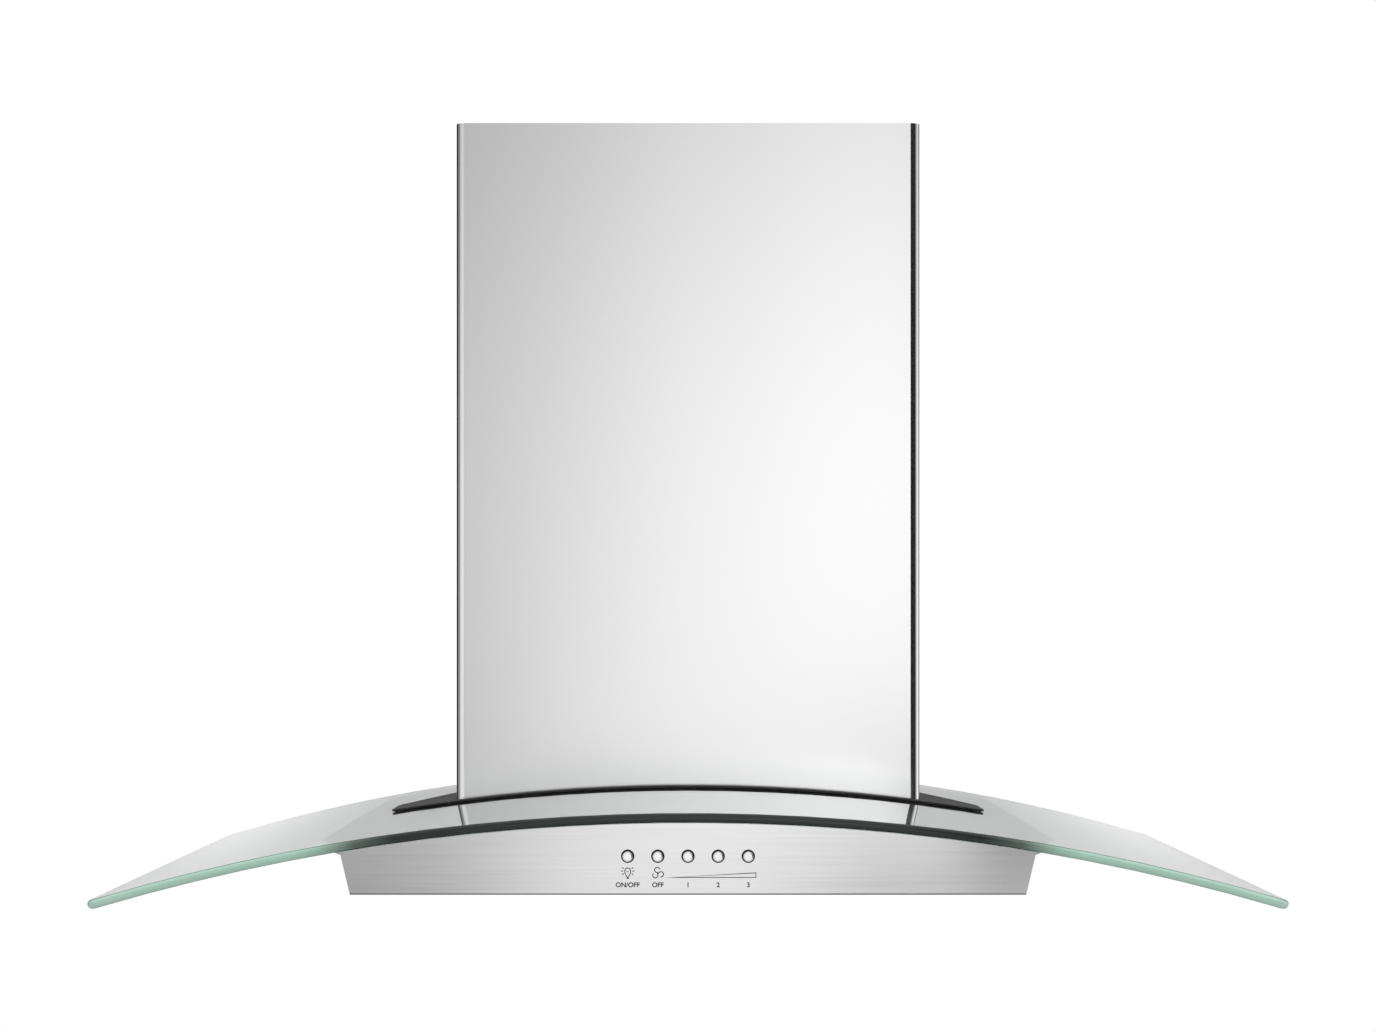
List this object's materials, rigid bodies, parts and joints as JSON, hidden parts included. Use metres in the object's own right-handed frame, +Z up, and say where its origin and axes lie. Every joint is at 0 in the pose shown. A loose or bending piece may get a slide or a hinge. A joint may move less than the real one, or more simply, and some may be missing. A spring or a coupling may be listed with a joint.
{
  "type": "curved glass range hood",
  "caption": "Wall-mounted range hood with an arched clear glass canopy, shallow steel body, push buttons, grease filters and a telescoping steel vent cover.",
  "frame": {"origin": "on the wall plane at mid-width, at the level of the body's bottom rim", "axes": "+X to the right as seen from the front, +Y into the wall, +Z up"},
  "size_m": [0.7604, 0.503, 0.5447],
  "materials": {
    "canopy_glass": "clear tempered glass, polished edge, faint green in the thickness",
    "stainless_steel": "fine brushed stainless steel",
    "grey_painted_steel": "satin grey paint",
    "black_painted_steel": "satin black paint",
    "galvanised_steel": "galvanised sheet",
    "zinc_fastener": "bright zinc plate",
    "machined_steel": "ground steel",
    "cast_aluminium": "die-cast aluminium",
    "motor_iron": "varnished laminations and windings",
    "filter_aluminium": "bright rolled aluminium",
    "chromed_metal": "polished chrome",
    "lamp_glass": "frosted glass",
    "black_plastic": "moulded black plastic",
    "grey_plastic": "moulded grey plastic",
    "pale_plastic": "moulded off-white plastic",
    "black_rubber": "black sealing strip",
    "clear_rubber": "soft clear bumper"
  },
  "bodies": {
    "hood": {"glass_canopy": "canopy_glass", "front_panel": "stainless_steel", "side_panel_left": "stainless_steel", "side_panel_right": "stainless_steel", "back_panel": "galvanised_steel", "glass_tray": "grey_painted_steel", "tray_pads": "clear_rubber", "lower_gasket": "black_rubber", "upper_gasket": "black_rubber", "clamp_plate": "black_painted_steel", "glass_bushes": "black_plastic", "glass_bolts": "zinc_fastener", "glass_nuts": "zinc_fastener", "lower_vent_cover": "stainless_steel", "blower_box": "galvanised_steel", "outlet_collar": "grey_plastic", "damper_rod": "zinc_fastener", "collar_screws": "zinc_fastener", "scroll_housing": "grey_plastic", "scroll_cover": "grey_plastic", "scroll_screws": "zinc_fastener", "motor_housing": "cast_aluminium", "motor_stator": "motor_iron", "motor_bearings": "machined_steel", "motor_screws": "zinc_fastener", "capacitor": "pale_plastic", "capacitor_clip": "zinc_fastener", "wiring_box": "black_plastic", "wiring_box_cover": "black_plastic", "terminal_block": "pale_plastic", "cable_gland": "black_plastic", "switch_block": "black_plastic", "switch_bracket": "galvanised_steel", "bottom_pan": "stainless_steel", "pan_screws": "zinc_fastener", "filter_frame_left": "filter_aluminium", "filter_frame_right": "filter_aluminium", "filter_mesh_left": "filter_aluminium", "filter_mesh_right": "filter_aluminium", "lamp_housing_left": "chromed_metal", "lamp_housing_right": "chromed_metal", "lamp_lens_left": "lamp_glass", "lamp_lens_right": "lamp_glass", "lamp_bulb_left": "lamp_glass", "lamp_bulb_right": "lamp_glass"},
    "upper_cover": {"upper_vent_cover": "stainless_steel"},
    "fan": {"fan_wheel": "black_plastic", "motor_shaft": "machined_steel"},
    "damper_front": {"damper_flap_front": "grey_plastic"},
    "damper_rear": {"damper_flap_rear": "grey_plastic"},
    "latch_left": {"filter_latch_left": "black_plastic"},
    "latch_right": {"filter_latch_right": "black_plastic"},
    "button_light": {"button_light": "chromed_metal"},
    "button_fan_off": {"button_fan_off": "chromed_metal"},
    "button_fan_low": {"button_fan_low": "chromed_metal"},
    "button_fan_medium": {"button_fan_medium": "chromed_metal"},
    "button_fan_high": {"button_fan_high": "chromed_metal"}
  },
  "joints": [
    {"name": "upper_cover_slide", "type": "slide", "parent": "hood", "child": "upper_cover", "axis": [0, 0, 1], "range_m": [0, 0.35]},
    {"name": "fan_spin", "type": "hinge", "parent": "hood", "child": "fan", "pos_m": [0.04, -0.095, 0.16], "axis": [1, 0, 0], "continuous": true},
    {"name": "damper_front_swing", "type": "hinge", "parent": "hood", "child": "damper_front", "pos_m": [0, -0.142, 0.28805], "axis": [-1, 0, 0], "range_deg": [0, 75]},
    {"name": "damper_rear_swing", "type": "hinge", "parent": "hood", "child": "damper_rear", "pos_m": [0, -0.142, 0.28805], "axis": [1, 0, 0], "range_deg": [0, 75]},
    {"name": "filter_latch_left_slide", "type": "slide", "parent": "hood", "child": "latch_left", "axis": [0, 1, 0], "range_m": [0, 0.0055], "stiffness_N_per_m": 500, "springref_m": -0.004},
    {"name": "filter_latch_right_slide", "type": "slide", "parent": "hood", "child": "latch_right", "axis": [0, 1, 0], "range_m": [0, 0.0055], "stiffness_N_per_m": 500, "springref_m": -0.004},
    {"name": "button_light_press", "type": "slide", "parent": "hood", "child": "button_light", "axis": [0, 1, 0], "range_m": [0, 0.0025], "stiffness_N_per_m": 800, "springref_m": -0.001},
    {"name": "button_fan_off_press", "type": "slide", "parent": "hood", "child": "button_fan_off", "axis": [0, 1, 0], "range_m": [0, 0.0025], "stiffness_N_per_m": 800, "springref_m": -0.001},
    {"name": "button_fan_low_press", "type": "slide", "parent": "hood", "child": "button_fan_low", "axis": [0, 1, 0], "range_m": [0, 0.0025], "stiffness_N_per_m": 800, "springref_m": -0.001},
    {"name": "button_fan_medium_press", "type": "slide", "parent": "hood", "child": "button_fan_medium", "axis": [0, 1, 0], "range_m": [0, 0.0025], "stiffness_N_per_m": 800, "springref_m": -0.001},
    {"name": "button_fan_high_press", "type": "slide", "parent": "hood", "child": "button_fan_high", "axis": [0, 1, 0], "range_m": [0, 0.0025], "stiffness_N_per_m": 800, "springref_m": -0.001}
  ]
}
